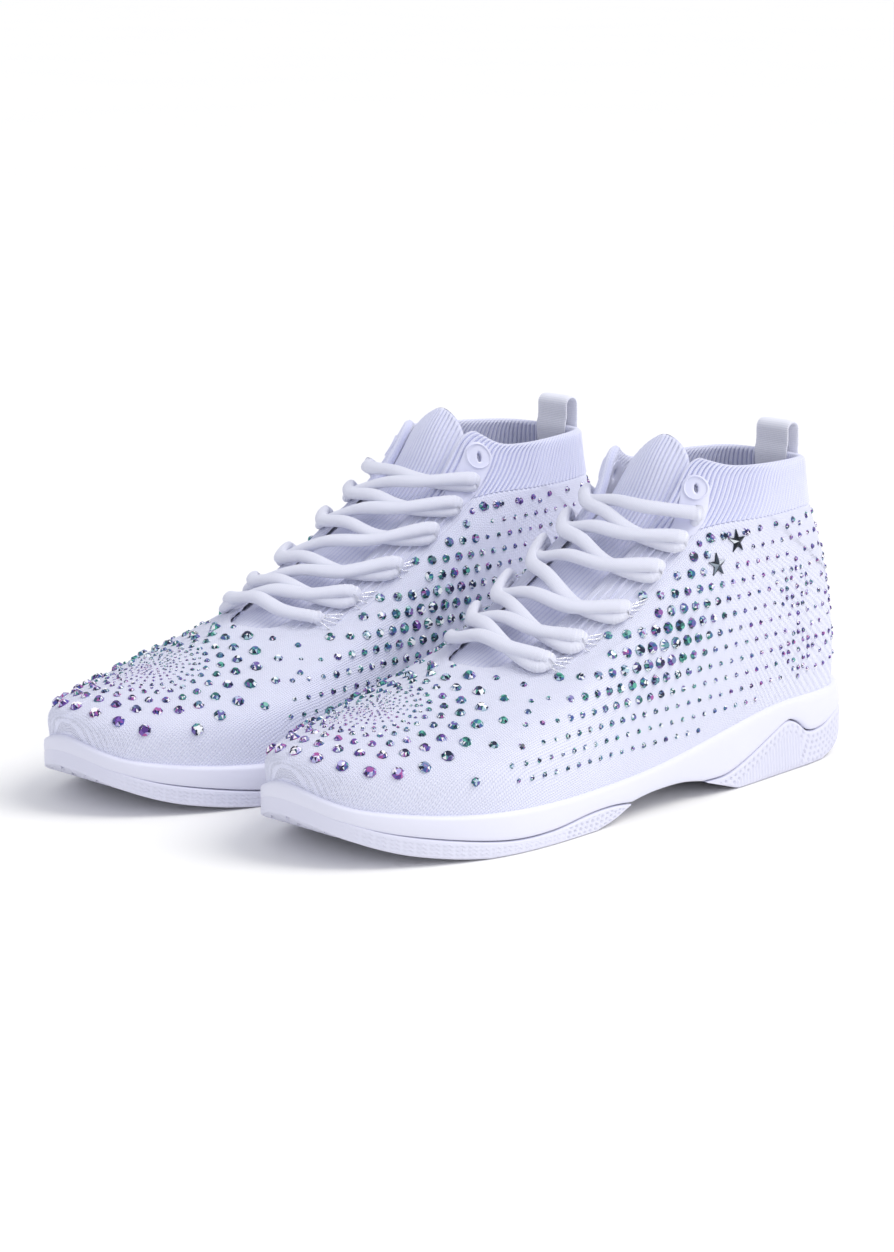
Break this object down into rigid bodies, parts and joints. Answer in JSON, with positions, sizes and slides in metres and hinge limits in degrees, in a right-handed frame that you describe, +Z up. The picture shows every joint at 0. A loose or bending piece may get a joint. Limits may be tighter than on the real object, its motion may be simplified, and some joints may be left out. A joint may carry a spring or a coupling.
{
  "type": "pair of cheer shoes",
  "caption": "Pair of laced knit high-top cheer shoes with ribbed collars, pull tabs, split rubber outsoles and crystal studded uppers",
  "frame": {"origin": "centre of the pair's footprint, on the ground", "axes": "+Z up, toes towards -Y, left shoe at +X and right shoe at -X"},
  "size_m": [0.2002, 0.2866, 0.128],
  "materials": {
    "outsole_rubber": "matte white rubber with moulded tread relief",
    "midsole_foam": "matte white EVA foam",
    "board": "pale fibre board",
    "insole_foam": "white foam with a fine cloth top",
    "stiffener": "thermoplastic stiffener sheet",
    "knit": "fine white weft knit with diagonal wales",
    "rib_knit": "white rib knit",
    "patch_film": "thin welded white film",
    "clear_line": "clear nylon line",
    "lace_braid": "white oval flat braid",
    "webbing": "white narrow webbing",
    "crystal": "faceted flat-back crystal with a green, blue and violet coating",
    "crystal_violet": "small faceted flat-back crystal with a violet coating",
    "star_crystal": "dark faceted star stud"
  },
  "bodies": {
    "left_shoe": {"left_outsole_forefoot": "outsole_rubber", "left_outsole_heel": "outsole_rubber", "left_midsole": "midsole_foam", "left_lasting_board": "board", "left_insole": "insole_foam", "left_heel_counter": "stiffener", "left_toe_puff": "stiffener", "left_knit_upper": "knit", "left_rib_collar": "rib_knit", "left_eyelet_patches": "patch_film", "left_lace_loops": "clear_line", "left_lace": "lace_braid", "left_pull_tab_legs": "webbing", "left_toe_stones": "crystal", "left_outer_side_stones": "crystal", "left_inner_side_stones": "crystal", "left_heel_stones": "crystal_violet", "left_star_studs": "star_crystal"},
    "left_tongue": {"left_tongue": "rib_knit"},
    "left_pull_tab": {"left_pull_tab_loop": "webbing"},
    "right_shoe": {"right_outsole_forefoot": "outsole_rubber", "right_outsole_heel": "outsole_rubber", "right_midsole": "midsole_foam", "right_lasting_board": "board", "right_insole": "insole_foam", "right_heel_counter": "stiffener", "right_toe_puff": "stiffener", "right_knit_upper": "knit", "right_rib_collar": "rib_knit", "right_eyelet_patches": "patch_film", "right_lace_loops": "clear_line", "right_lace": "lace_braid", "right_pull_tab_legs": "webbing", "right_toe_stones": "crystal", "right_outer_side_stones": "crystal", "right_inner_side_stones": "crystal", "right_heel_stones": "crystal_violet", "right_star_studs": "star_crystal"},
    "right_tongue": {"right_tongue": "rib_knit"},
    "right_pull_tab": {"right_pull_tab_loop": "webbing"}
  },
  "joints": [
    {"name": "right_shoe_lift", "type": "slide", "parent": "left_shoe", "child": "right_shoe", "axis": [0, 0, 1], "range_m": [0, 0.15]},
    {"name": "left_tongue_tilt", "type": "hinge", "parent": "left_shoe", "child": "left_tongue", "pos_m": [0.0525, -0.05425, 0.052], "axis": [1, 0, 0], "range_deg": [-12, 0], "stiffness_Nm_per_rad": 0.5},
    {"name": "left_pull_tab_flop", "type": "hinge", "parent": "left_shoe", "child": "left_pull_tab", "pos_m": [0.0525, 0.11915, 0.117], "axis": [1, 0, 0], "range_deg": [-35, 25], "stiffness_Nm_per_rad": 0.05},
    {"name": "right_tongue_tilt", "type": "hinge", "parent": "right_shoe", "child": "right_tongue", "pos_m": [-0.0525, -0.06825, 0.052], "axis": [1, 0, 0], "range_deg": [-12, 0], "stiffness_Nm_per_rad": 0.5},
    {"name": "right_pull_tab_flop", "type": "hinge", "parent": "right_shoe", "child": "right_pull_tab", "pos_m": [-0.0525, 0.10515, 0.117], "axis": [1, 0, 0], "range_deg": [-35, 25], "stiffness_Nm_per_rad": 0.05}
  ]
}
